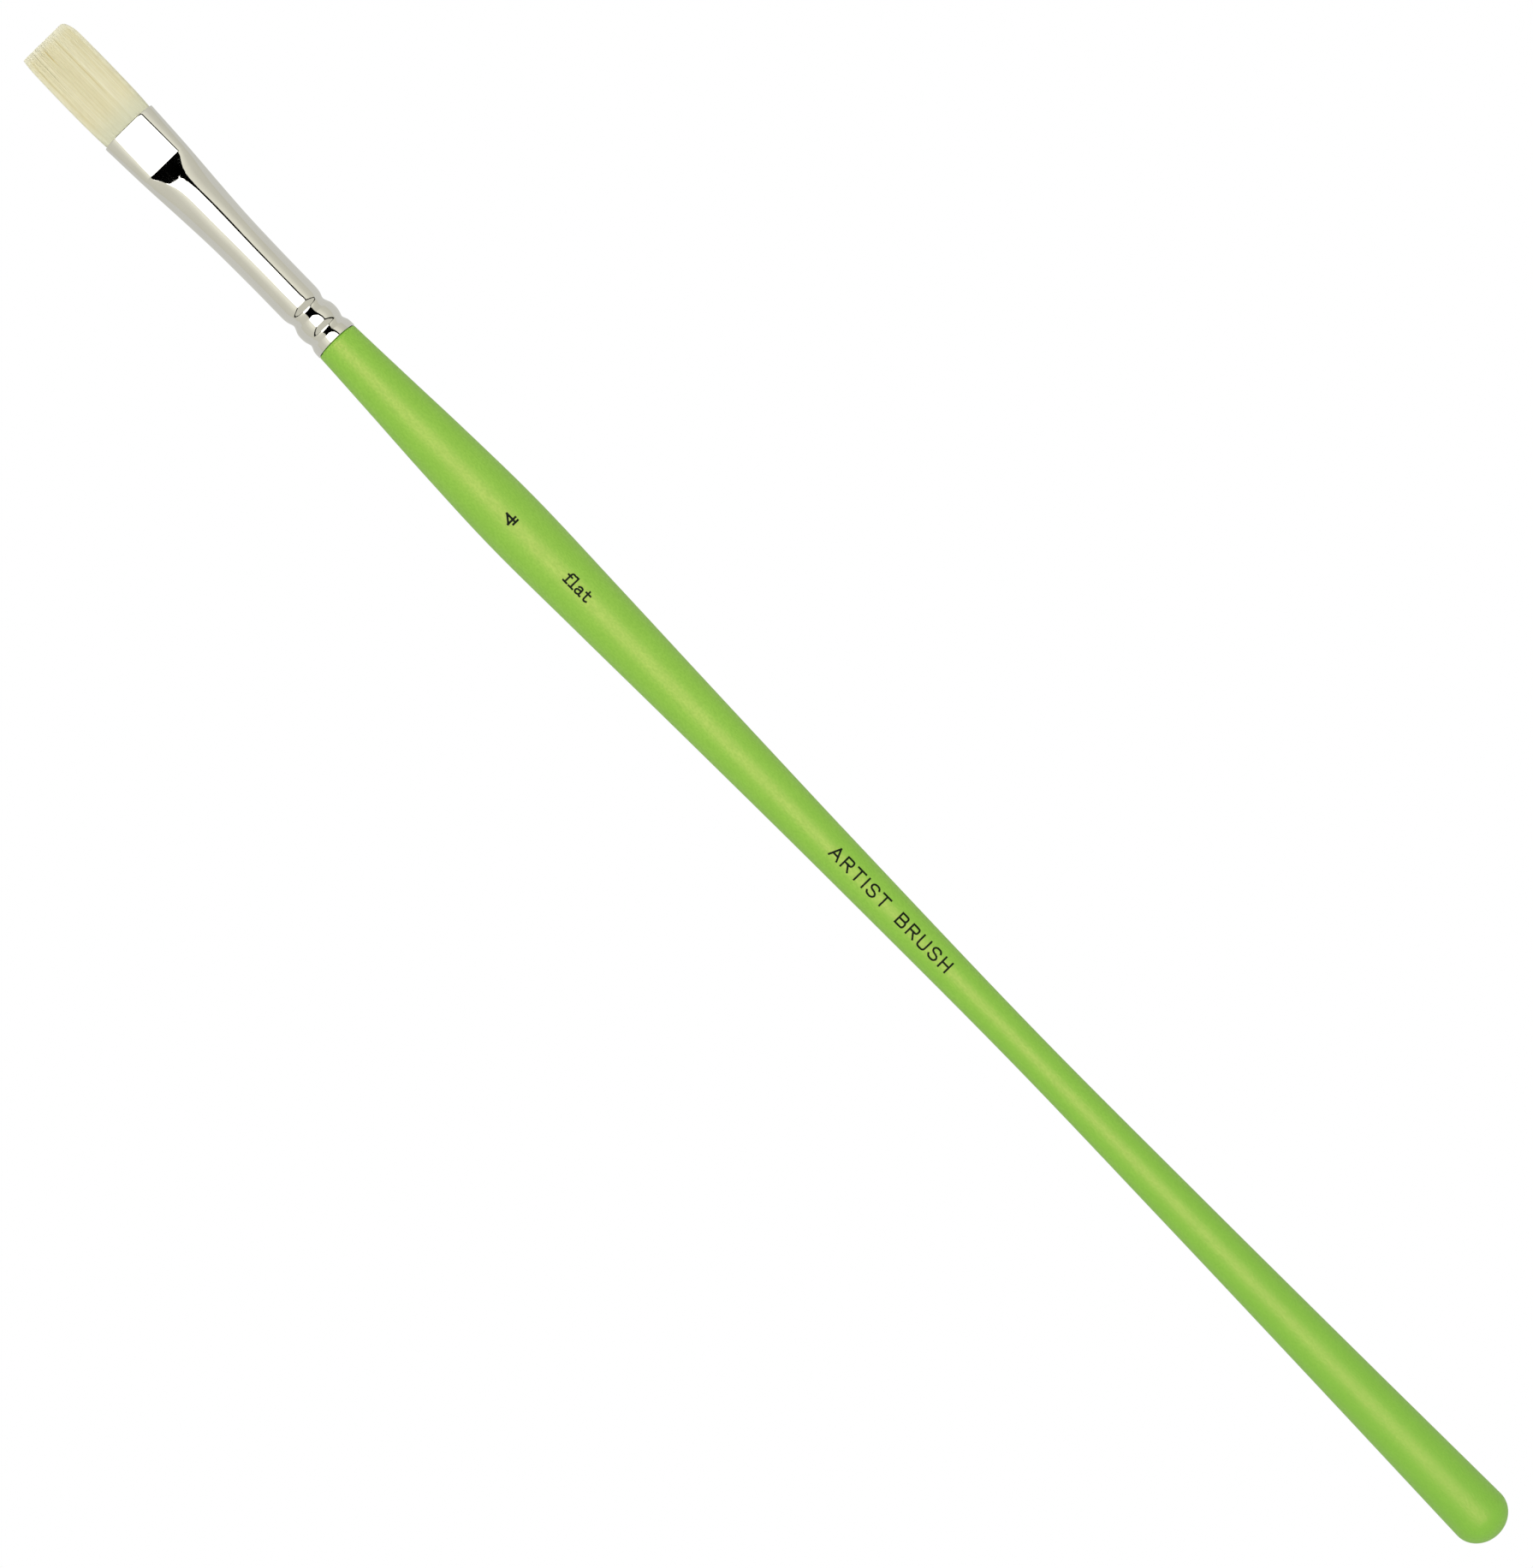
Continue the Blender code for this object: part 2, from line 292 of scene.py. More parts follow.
def lacquer_material():
    """Green pearl lacquer: satin, with a fine golden sparkle, and painted shade that deepens its colour
    towards the butt.
    """
    material, tree, shader = new_material(
        "green_pearl_lacquer", IOR=1.7, Specular_IOR_Level=0.97, Specular_Tint=(1.0, 0.43, 0.34, 1.0))
    flakes = grain(tree, 3.2, stretch=1.3, detail=4.0, contrast=2.4)
    clouds = grain(tree, 0.35, stretch=3.0, contrast=1.4)
    place = tree.nodes.new("ShaderNodeTexCoord")
    split = tree.nodes.new("ShaderNodeSeparateXYZ")
    tree.links.new(place.outputs["Object"], split.inputs[0])
    # painted shade: the base colour is darkened towards the butt
    butt_shade = range_node(tree, split.outputs[0], 0.02, -0.15, 0.0, 0.6)
    sparkle = range_node(tree, flakes, 0.2, 0.85)
    pigment = colour_mix(tree, sparkle, srgb(*LACQUER_DEEP), srgb(*LACQUER_BRIGHT))
    cloudy = range_node(tree, clouds, 0.3, 0.75, 0.0, 0.35)
    base = colour_mix(tree, cloudy, pigment, srgb(*LACQUER_CLOUD))
    base = colour_mix(tree, butt_shade, base, srgb(*LACQUER_BUTT_SHADE))
    tree.links.new(base, shader.inputs["Base Color"])
    tree.links.new(range_node(tree, flakes, 0.25, 0.8, 0.51, 0.39), shader.inputs["Roughness"])
    tree.links.new(bump(tree, flakes, 0.016), shader.inputs["Normal"])
    return material


def wood_material():
    """Bare beech of the tenon, with its grain along the brush."""
    material, tree, shader = new_material("bare_beech", Roughness=0.7)
    lines = grain(tree, 3.0, stretch=18.0, detail=4.0, contrast=2.0)
    wood = colour_mix(tree, lines, srgb(*BEECH_DARK), srgb(*BEECH_LIGHT))
    tree.links.new(wood, shader.inputs["Base Color"])
    tree.links.new(bump(tree, lines, 0.02), shader.inputs["Normal"])
    return material


handle = turned("handle_body", handle_outline(), HANDLE_SIDES)
handle.data.materials.append(lacquer_material())
handle.data.materials.append(wood_material())
tenon_limit = at_station(TENON_WAISTS[-1][0]).x
for face in handle.data.polygons:
    face.material_index = 1 if face.center.x > tenon_limit else 0
handle.data.shade_smooth()
handle.data.set_sharp_from_angle(angle=radians(40))
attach(handle, "body")
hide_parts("handle")


# --------------------------------------------------------------------------------------------
# The lettering: pad-printed in black ink on top of the lacquer. The size stands across the handle
# and the tuft's shape along it, in small letters, and plain block capitals stand near the waist.
# --------------------------------------------------------------------------------------------

INK_THICKNESS = 0.020
INK_SUNK = 0.004                         # how far the print's underside lies inside the lacquer
INK_STEP = 0.22                          # longest straight run of a stroke, so that it wraps the handle
INK_DARK, INK_WORN = (4, 10, 2), (18, 32, 8)
LETTERS = {                              # advance, strokes; 5 high, or 7.5 if tall, and capitals 7
    " ": (4.0, []),
    "4": (6.0, [[(3.6, 0), (3.6, 7.4)], [(3.6, 7.2), (0.7, 2.3)],
                [(0.5, 2.3), (5.2, 2.3)], [(2.2, 0), (5.0, 0)]]),
    "a": (6.4, [[(1.2, 4.1), (1.8, 4.8), (3.0, 5.0), (4.2, 4.6), (4.3, 3.6), (4.3, 1.0), (4.6, 0.0),
                 (5.6, 0.1)],
                [(4.3, 2.9), (2.7, 2.9), (1.0, 2.5), (0.6, 1.2), (1.3, 0.0), (2.8, -0.1), (3.8, 0.4),
                 (4.3, 1.2)]]),
    "f": (5.0, [[(2.2, 0), (2.2, 5.6), (2.4, 7.0), (3.3, 7.5), (4.7, 7.3)],
                [(0.7, 5), (3.9, 5)], [(0.7, 0), (3.8, 0)]]),
    "l": (4.8, [[(2.2, 7.5), (2.2, 0)], [(0.9, 7.5), (2.2, 7.5)], [(0.5, 0), (3.9, 0)]]),
    "t": (5.4, [[(2.0, 6.8), (2.0, 2.0), (2.1, 0.5), (3.1, -0.1), (4.6, 0.6)], [(0.5, 5), (4.2, 5)]]),
    "A": (5.8, [[(0.4, 0), (2.9, 7)], [(2.9, 7), (5.4, 0)], [(1.3, 2.4), (4.5, 2.4)]]),
    "B": (5.8, [[(0.8, 0), (0.8, 7)], [(0.8, 7), (3.4, 7), (4.9, 6.8), (4.9, 3.9), (3.4, 3.7), (0.8, 3.7)],
                [(0.8, 3.7), (3.6, 3.7), (5.3, 3.5), (5.3, 0.2), (3.6, 0), (0.8, 0)]]),
    "H": (5.8, [[(0.8, 0), (0.8, 7)], [(5.0, 0), (5.0, 7)], [(0.8, 3.6), (5.0, 3.6)]]),
    "I": (1.6, [[(0.8, 0), (0.8, 7)]]),
    "R": (5.7, [[(0.8, 0), (0.8, 7)], [(0.8, 7), (3.4, 7), (5.0, 6.8), (5.0, 3.7), (3.4, 3.5), (0.8, 3.5)],
                [(2.9, 3.5), (5.2, 0)]]),
    "S": (5.5, [[(4.9, 5.8), (4.2, 7.1), (1.6, 7.2), (0.5, 5.4), (1.2, 3.8), (4.2, 3.3), (5.1, 1.6),
                 (4.0, -0.2), (1.2, -0.1), (0.4, 1.2)]]),
    "T": (5.4, [[(2.7, 0), (2.7, 7)], [(0.3, 7), (5.1, 7)]]),
    "U": (6.0, [[(0.8, 7), (0.8, 2.2), (1.0, 0.0), (3.0, -0.4), (5.0, 0.0), (5.2, 2.2), (5.2, 7)]]),
}
# name, words, mm per grid step along and up, extra spacing, first station, off the top line,
# turned to stand across the handle, stroke width
PRINTS = [
    ("print_size", "4", 0.247, 0.327, 0.0, 99.28, 0.02, True, 0.33),
    ("print_shape", "flat", 0.235, 0.233, 0.0, 112.15, 0.24, False, 0.29),
    ("print_words", "ARTIST BRUSH", 0.320, 0.262, 1.45, 168.9, 0.15, False, 0.30),
]


def ink_material():
    """Black pad-printing ink: matt, and a little thin in places."""
    material, tree, shader = new_material("black_ink", Specular_IOR_Level=0.10)
    wear = grain(tree, 6.0, detail=3.0, contrast=1.6)
    tree.links.new(colour_mix(tree, wear, srgb(*INK_DARK), srgb(*INK_WORN)), shader.inputs["Base Color"])
    tree.links.new(range_node(tree, wear, 0.0, 1.0, 0.45, 0.60), shader.inputs["Roughness"])
    return material


INK = ink_material()


def smooth_stroke(stroke):
    """A straight stroke as it is, a longer one with its corners cut twice into a curve."""
    points = [Vector(point) for point in stroke]
    for _ in range(2 if len(points) > 2 else 0):
        cut = [points[0]]
        for here, there in zip(points, points[1:]):
            cut += [here.lerp(there, 0.25), here.lerp(there, 0.75)]
        points = cut + [points[-1]]
    return points


def ribbon(points, width):
    """Places of the two edges of a stroke, with no run longer than INK_STEP."""
    line = [points[0]]
    for here, there in zip(points, points[1:]):
        steps = max(int((there - here).length / INK_STEP + 0.999), 1)
        line += [here.lerp(there, i / steps) for i in range(1, steps + 1)]
    edges = []
    for i, point in enumerate(line):
        run = (line[min(i + 1, len(line) - 1)] - line[max(i - 1, 0)]).normalized()
        side = Vector((-run.y, run.x)) * width / 2
        end = run * width / 2 * ((i == len(line) - 1) - (i == 0))
        edges.append((point + side + end, point - side + end))
    return edges


def printed(name, words, along_step, up_step, spacing, first, middle, turned_up, width):
    """Words as a thin raised print, wrapped round the top of the handle."""
    if turned_up:
        along_step, up_step = up_step, along_step
    strokes = []
    pen = 0.0
    for letter in words:
        advance, shapes = LETTERS[letter]
        for shape in shapes:
            line = [Vector(((p.x + pen) * along_step, p.y * up_step)) for p in smooth_stroke(shape)]
            strokes.append([Vector((-p.y, p.x)) for p in line] if turned_up else line)
        pen += advance + spacing
    low = [min(p[axis] for line in strokes for p in line) for axis in (0, 1)]
    high = [max(p[axis] for line in strokes for p in line) for axis in (0, 1)]
    bm = bmesh.new()
    for line in strokes:
        edges = ribbon(line, width)
        rings = []
        for left, right in edges:
            ring = []
            for point, layer in ((left, 0), (right, 0), (right, 1), (left, 1)):
                station = first + point.x - low[0]
                surface = handle_radius(station)
                angle = (point.y - (low[1] + high[1]) / 2 + middle) / surface
                radius = surface - INK_SUNK + INK_THICKNESS * layer
                ring.append(bm.verts.new(at_station(station, -radius * sin(angle), radius * cos(angle))))
            rings.append(ring)
        for here, there in zip(rings, rings[1:]):
            for i in range(4):
                bm.faces.new((here[i], here[(i + 1) % 4], there[(i + 1) % 4], there[i]))
        bm.faces.new(rings[0])
        bm.faces.new(rings[-1])
    bmesh.ops.recalc_face_normals(bm, faces=bm.faces)
    mesh = bpy.data.meshes.new(name)
    bm.to_mesh(mesh)
    bm.free()
    mesh.materials.append(INK)
    piece = bpy.data.objects.new(name, mesh)
    bpy.context.scene.collection.objects.link(piece)
    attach(piece, "body")


for entry in PRINTS:
    printed(*entry)


# --------------------------------------------------------------------------------------------
# The ferrule: a seamless brass tube, plated with bright nickel. A die has pressed it flat at
# the mouth, and a wheel has crimped it twice onto the handle's tenon.
# --------------------------------------------------------------------------------------------

MOUTH = (TIP_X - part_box("ferrule")[1].x) / MM
LIP_END = 62.72                          # the lip stops just short of the handle's shoulder
CREASE = 26.05                           # end of the flat panel
ROUND_FROM = 40.0                        # the pressing has run out by here
SHOULDER = 54.3                          # start of the crimps
WALL = 0.35
PANEL_HALF_THICKNESS = 1.78
HALF_WIDTHS = [                          # station, half width
    (MOUTH, 4.775), (26.0, 4.43), (33.3, 3.97), (40.0, 3.62), (48.0, 3.47), (SHOULDER, 3.46),
]
HALF_THICKNESSES = [                     # station, half thickness behind the crease; the first sets a slope
    (25.0, 1.486), (CREASE, 1.78), (28.2, 2.382), (28.55, 2.475), (29.0, 2.575), (29.7, 2.70), (30.6, 2.82),
    (31.8, 2.93), (33.3, 3.02), (36.0, 3.14), (40.0, 3.30), (45.0, 3.42), (49.0, 3.455), (SHOULDER, 3.46),
]
FOLDS = [                                # station, half width up to the fold, softness right and left
    (MOUTH, 2.84, 0.80, 0.80), (CREASE - 0.02, 3.10, 0.80, 0.80), (CREASE + 0.05, 3.04, 0.80, 0.25),
    (26.6, 2.84, 0.85, 0.14), (27.3, 2.40, 1.00, 0.12), (27.9, 2.08, 1.15, 0.12), (28.4, 1.86, 1.30, 0.14),
    (29.2, 1.62, 1.50, 0.35), (30.1, 1.42, 1.40, 0.60), (31.2, 1.25, 1.20, 0.75), (33.0, 1.11, 1.00, 0.85),
    (38.0, 1.05, 0.90, 0.90), (SHOULDER, 1.05, 0.90, 0.90),
]
# degrees off level: at the fold, just past it, and where the bend at the side starts
FOLD_TILT, PANEL_TILT, FLANK_TILT = 18.0, 25.0, 50.0
SIDE_ROUNDING = 0.75                     # girth of the tight bend at each side
FLANK_REACH, SIDE_REACH = 0.798, 0.335   # half width that a millimetre of their girth takes up
FOLD_SHARE = 0.4                         # share of a fold's softness that lies outside it
CRIMPS = [                               # station, radius, slope: shoulder, groove, bead, groove, lip
    (SHOULDER, 3.46, 0.0), (55.2, 3.415, -0.13), (55.8, 3.285, -0.32), (56.28, 3.11, -0.34),
    (56.62, 3.035, 0.0), (56.94, 3.10, 0.33), (57.80, 3.45, 0.42), (57.86, 3.468, 0.20),
    (58.72, 3.555, 0.0), (59.55, 3.47, -0.21), (60.2, 3.28, -0.35), (60.53, 3.20, 0.0),
    (60.82, 3.265, 0.34), (61.40, 3.515, 0.43), (61.46, 3.533, 0.18), (62.1, 3.605, 0.05),
    (LIP_END, 3.61, 0.0),
]
GIRTH_SHARES = (6, 8, 10, 8)             # faces of a quarter girth: panel, fold, flank, side bend
RIM_LENGTH, RIM_ROUNDING = 0.06, 0.05
GIRTH_SAMPLES = 600
NICKEL_DULL, NICKEL_BRIGHT = (0.745, 0.735, 0.680), (0.785, 0.775, 0.720)


def crimped_radius(station):
    """Radius of the crimped stretch, on curves of given slope between the CRIMPS."""
    piece = max(i for i in range(len(CRIMPS) - 1) if i == 0 or CRIMPS[i][0] <= station)
    start, start_radius, slope_in = CRIMPS[piece]
    end, end_radius, slope_out = CRIMPS[piece + 1]
    span = end - start
    part = (station - start) / span
    return curve_piece(start_radius, end_radius - start_radius, slope_in * span, slope_out * span, part)


def girth_marks(half_width, fold, bend):
    """Where along a quarter girth, from the top, the panel, fold, flank and side bend end."""
    flank = (half_width - fold - SIDE_REACH * SIDE_ROUNDING) / FLANK_REACH
    return [0.0, fold - bend, fold + FOLD_SHARE * bend, fold + flank, fold + flank + SIDE_ROUNDING]


def quarter_ring(station, left):
    """Places (y, z) in mm over a quarter of the ferrule's skin, from its top to its side."""
    stations, folds, *bends = zip(*FOLDS)
    fold = np.interp(station, stations, folds)
    bend = min(np.interp(station, stations, bends[left]), fold)
    half_width = half_thickness = crimped_radius(station) if station >= SHOULDER else 0.0
    pressed = 0.0
    if station < SHOULDER:
        half_width = curve_through(HALF_WIDTHS, station)
        half_thickness = PANEL_HALF_THICKNESS
        pressed = 1.0
    if CREASE < station < SHOULDER:
        half_thickness = curve_through(HALF_THICKNESSES, station)
        run_out = min((station - CREASE) / (ROUND_FROM - CREASE), 1.0)
        pressed = 1 - run_out ** 2 * (3 - 2 * run_out)
    marks = girth_marks(half_width, fold, bend)
    girth = np.linspace(0, marks[-1], GIRTH_SAMPLES)
    tilts = np.interp(girth, [0.0, marks[1], fold, *marks[2:]],
                      [0.0, 0.0, FOLD_TILT, PANEL_TILT, FLANK_TILT, 90.0])
    tilts = np.radians(pressed * tilts + (1 - pressed) * 90 * girth / marks[-1])
    y = np.concatenate([[0], np.cumsum(np.cos((tilts[1:] + tilts[:-1]) / 2))])
    z = np.concatenate([[0], np.cumsum(np.sin((tilts[1:] + tilts[:-1]) / 2))])
    chosen = [0.0]
    for low, high, faces in zip(marks, marks[1:], GIRTH_SHARES):
        chosen += evenly(low, high, faces)[1:]
    y = np.interp(chosen, girth, y / y[-1] * half_width)
    z = np.interp(chosen, girth, half_thickness * (1 - z / z[-1]))
    return y, z


def ferrule_stations():
    """Stations of the rings: close together at the crease, in the grooves and at the beads' edges."""
    stations = [MOUTH, MOUTH + 0.02, MOUTH + 0.06, MOUTH + 0.3] + evenly(MOUTH + 1.0, CREASE - 0.2, 8)
    stations += [CREASE - 0.03, CREASE, CREASE + 0.03] + evenly(CREASE + 0.12, 31.0, 56)
    stations += evenly(31.2, 36.0, 20) + evenly(36.5, SHOULDER, 34)
    for here, there in zip(CRIMPS, CRIMPS[1:]):
        stations += evenly(here[0], there[0], 2 if there[0] - here[0] < 0.1 else 7)[1:]
    stations = [station for station in stations if station < LIP_END - 0.08]
    return stations + [LIP_END - 0.06, LIP_END - 0.02, LIP_END]


def ferrule_mesh():
    """A round tube drawn out ring by ring, then pressed and crimped to its outline."""
    quarter = sum(GIRTH_SHARES)
    stations = ferrule_stations()
    bpy.ops.mesh.primitive_circle_add(vertices=4 * quarter, radius=CRIMPS[0][1] * MM,
                                      location=at_station(stations[0]), rotation=(0, pi / 2, 0))
    piece = bpy.context.object
    piece.name = piece.data.name = "ferrule_tube"
    bpy.ops.object.transform_apply(location=True, rotation=True, scale=True)
    bpy.ops.object.mode_set(mode="EDIT")
    bpy.ops.mesh.select_all(action="SELECT")
    for here, there in zip(stations, stations[1:]):
        bpy.ops.mesh.extrude_region_move(TRANSFORM_OT_translate={"value": ((here - there) * MM, 0, 0)})
    bpy.ops.mesh.select_all(action="SELECT")
    bpy.ops.mesh.normals_make_consistent(inside=False)
    bpy.ops.object.mode_set(mode="OBJECT")
    rings = {}
    for vertex in piece.data.vertices:
        station = min(max((TIP_X - vertex.co.x) / MM, MOUTH), LIP_END)
        turn = atan2(abs(vertex.co.y), abs(vertex.co.z - AXIS_Z)) / (pi / 2)
        key = (round(station, 3), vertex.co.y > 0)
        if key not in rings:
            rings[key] = quarter_ring(station, vertex.co.y > 0)
        y, z = (side[round(turn * quarter)] for side in rings[key])
        rim = max(1 - min(station - MOUTH, LIP_END - station) / RIM_LENGTH, 0.0) ** 2 * RIM_ROUNDING
        y, z = y * (1 - rim / 4), z * (1 - rim / 2)
        vertex.co.y = y * MM * (1 if vertex.co.y > 0 else -1)
        vertex.co.z = AXIS_Z + z * MM * (1 if vertex.co.z > AXIS_Z else -1)
    return piece


def nickel_material():
    """Bright nickel plate: mirror-like, with faint drawing lines and a few soft smudges."""
    material, tree, shader = new_material("nickel_plate", Metallic=1.0)
    lines = grain(tree, 9.0, stretch=40.0, detail=2.0, contrast=1.5)
    smudges = grain(tree, 0.5, stretch=2.0, detail=3.0, contrast=1.8)
    tree.links.new(colour_mix(tree, smudges, NICKEL_DULL, NICKEL_BRIGHT), shader.inputs["Base Color"])
    rough = math_node(tree, "MULTIPLY", range_node(tree, smudges, 0.3, 0.9, 0.035, 0.075),
                      range_node(tree, lines, 0.2, 0.8, 0.85, 1.2))
    tree.links.new(rough, shader.inputs["Roughness"])
    tree.links.new(bump(tree, lines, 0.0004), shader.inputs["Normal"])
    return material


ferrule = ferrule_mesh()
bpy.ops.object.mode_set(mode="EDIT")
bpy.ops.mesh.select_all(action="SELECT")
bpy.ops.mesh.remove_doubles(threshold=0.0005 * MM)
bpy.ops.object.mode_set(mode="OBJECT")
wall = ferrule.modifiers.new("wall", "SOLIDIFY")
wall.thickness = WALL * MM
wall.offset = -1.0
wall.use_even_offset = True
bpy.context.view_layer.objects.active = ferrule
bpy.ops.object.modifier_apply(modifier=wall.name)
ferrule.data.materials.append(nickel_material())
ferrule.data.shade_smooth()
ferrule.data.set_sharp_from_angle(angle=radians(50))
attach(ferrule, "body")
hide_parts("ferrule")


# --------------------------------------------------------------------------------------------
# The resin plug: a block of cured amber resin inside the ferrule, which holds the roots of the
# filaments. Its shape in the model is right, so it only gets its finish.
# --------------------------------------------------------------------------------------------

RESIN_DARK, RESIN_LIGHT = (150, 104, 48), (186, 140, 76)


def resin_material():
    """Cured amber resin: glossy, and cloudy where the filaments were pressed in."""
    material, tree, shader = new_material("cured_resin", Specular_IOR_Level=0.5)
    clouds = grain(tree, 1.2, detail=3.0, contrast=1.6)
    amber = colour_mix(tree, clouds, srgb(*RESIN_DARK), srgb(*RESIN_LIGHT))
    tree.links.new(amber, shader.inputs["Base Color"])
    tree.links.new(range_node(tree, clouds, 0.2, 0.8, 0.18, 0.32), shader.inputs["Roughness"])
    tree.links.new(bump(tree, clouds, 0.02), shader.inputs["Normal"])
    return material


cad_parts["resin_plug"].data.materials.clear()
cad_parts["resin_plug"].data.materials.append(resin_material())


# --------------------------------------------------------------------------------------------
# The tuft: a flat bundle of tapered cream filaments, cut square and slightly rounded at one corner by use.
# It is two lengths of the same filaments.
# --------------------------------------------------------------------------------------------

FILAMENT_PITCH, SKIN_PITCH = 0.155, 0.132               # between filaments inside, and in the outer layer
FILAMENT_WANDER, SKIN_WANDER = 0.13 * FILAMENT_PITCH, 0.008
SKIN_DEPTH = 1.1                         # of the outer layer, in pitches
FILAMENT_RADIUS = 0.104
FILAMENT_TAPER = [                       # station, share of the full radius
    (0.0, 0.70), (0.15, 0.84), (2.0, 0.92), (9.0, 0.97), (14.0, 1.0),
]
FILAMENT_SIDES = 6
FILAMENT_LEAN = (0.022, 0.006)           # of the free ends, across the tuft and through it
ROOT_STATION = 20.2
CUT_STATION = 11.75                      # where the two lengths meet, between the hinges
MOUTH_HALF_WIDTH, MOUTH_HALF_THICKNESS = 4.41, 1.31
TUFT_OUTLINE = [                         # station, half width, half thickness of the bundle
    (0.0, 4.34, 0.40), (0.8, 4.44, 0.46), (2.2, 4.55, 0.60), (6.0, 4.62, 0.86), (10.0, 4.64, 1.06),
    (14.0, 4.60, 1.20), (17.0, 4.50, 1.27), (MOUTH, MOUTH_HALF_WIDTH, MOUTH_HALF_THICKNESS),
    (21.0, 4.34, MOUTH_HALF_THICKNESS),
]
WORN_FROM, WORN_SPAN = 0.80, 0.20        # the worn corner, in shares of the half width
WORN_LENGTH, WORN_DEPTH = 2.6, 0.50
SHORT_FROM, SHORT_SPAN, SHORT_BY = 0.86, 0.14, 0.25     # filaments worn short at that corner
SHADE_STREAKS = [                              # painted shade between clumps: across the tuft, half width, start and end along it, darkness
    (-0.77, 0.012, 0.55, 0.85, 0.35), (-0.66, 0.016, 0.05, 0.60, 0.55), (-0.27, 0.020, 0.02, 0.70, 0.75),
    (-0.24, 0.012, 0.30, 0.95, 0.25), (0.23, 0.022, 0.02, 0.26, 0.80), (0.61, 0.014, 0.05, 0.45, 0.35),
    (0.84, 0.016, 0.06, 0.42, 0.40), (0.08, 0.012, 0.30, 0.75, 0.22), (-0.45, 0.010, 0.10, 0.50, 0.22),
]
# how deep the painted shade of the streaks is, and how softly it ends
SHADE_STREAK_DEPTH, SHADE_STREAK_FADE = 0.55, 0.08
EDGE_FROM, EDGE_SPAN, EDGE_PAINTED_LIGHT = 0.90, 0.08, 0.4      # painted light: sides paler, as if lit through their thin edge
TINTS = [(0.0, (194, 174, 112)), (0.30, (215, 207, 168)), (1.0, (230, 226, 200))]
# the root tint is painted shade where the filaments enter the ferrule
FLECK_TINT, ROOT_SHADE_TINT, END_TINT = (209, 201, 161), (210, 212, 190), (236, 236, 224)


def tuft_places(random):
    """Filament places in the bundle's section, as shares of its half width and half thickness."""
    half_width = MOUTH_HALF_WIDTH - FILAMENT_RADIUS
    half_thickness = MOUTH_HALF_THICKNESS - FILAMENT_RADIUS
    straight = half_width - half_thickness
    bend = pi * half_thickness
    girth = 4 * straight + 2 * bend
    skin = []
    for run in evenly(0.0, girth, int(girth / SKIN_PITCH))[:-1]:
        side = 1 if run < 2 * straight + bend else -1
        rest = run if side > 0 else run - 2 * straight - bend
        turn = max(rest - 2 * straight, 0.0) / half_thickness
        skin.append((side * (min(rest, 2 * straight) - straight + half_thickness * sin(turn)),
                     side * half_thickness * cos(turn)))
    skin = np.array(skin) + random.normal(0, SKIN_WANDER, (len(skin), 2))
    rows = []
    row_height = FILAMENT_PITCH * sqrt(3) / 2
    inset = half_thickness - SKIN_DEPTH * FILAMENT_PITCH
    for row in range(-int(inset / row_height), int(inset / row_height) + 1):
        z = row * row_height
        side = straight + sqrt(inset ** 2 - z ** 2)
        shift = FILAMENT_PITCH / 2 * (row % 2)
        first, last = -int((side + shift) / FILAMENT_PITCH), int((side - shift) / FILAMENT_PITCH)
        for column in range(first, last + 1):
            rows.append((column * FILAMENT_PITCH + shift, z))
    rows = np.array(rows) + random.normal(0, FILAMENT_WANDER, (len(rows), 2))
    return np.concatenate([skin, rows]) / (half_width, half_thickness)


def painted_shade_and_light(tint, across, along):
    """Tint of every ring of every filament, with painted shade in streaks between clumps and painted light
    that makes the sides paler.
    """
    shade = np.repeat(tint[:, None], along.shape[1], 1)
    # painted shade: darker streaks where clumps of filaments part
    for place, half_width, start, end, darkness in SHADE_STREAKS:
        near = np.exp(-((across - place) / half_width) ** 2)
        run = np.clip(np.minimum(along - start, end - along) / SHADE_STREAK_FADE, 0, 1)
        shade = shade - SHADE_STREAK_DEPTH * darkness * near[:, None] * run
    # painted light: the tuft's sides made paler
    edge = np.clip((np.abs(across) - EDGE_FROM) / EDGE_SPAN, 0, 1)
    return np.clip(shade + EDGE_PAINTED_LIGHT * edge[:, None], 0, 1)


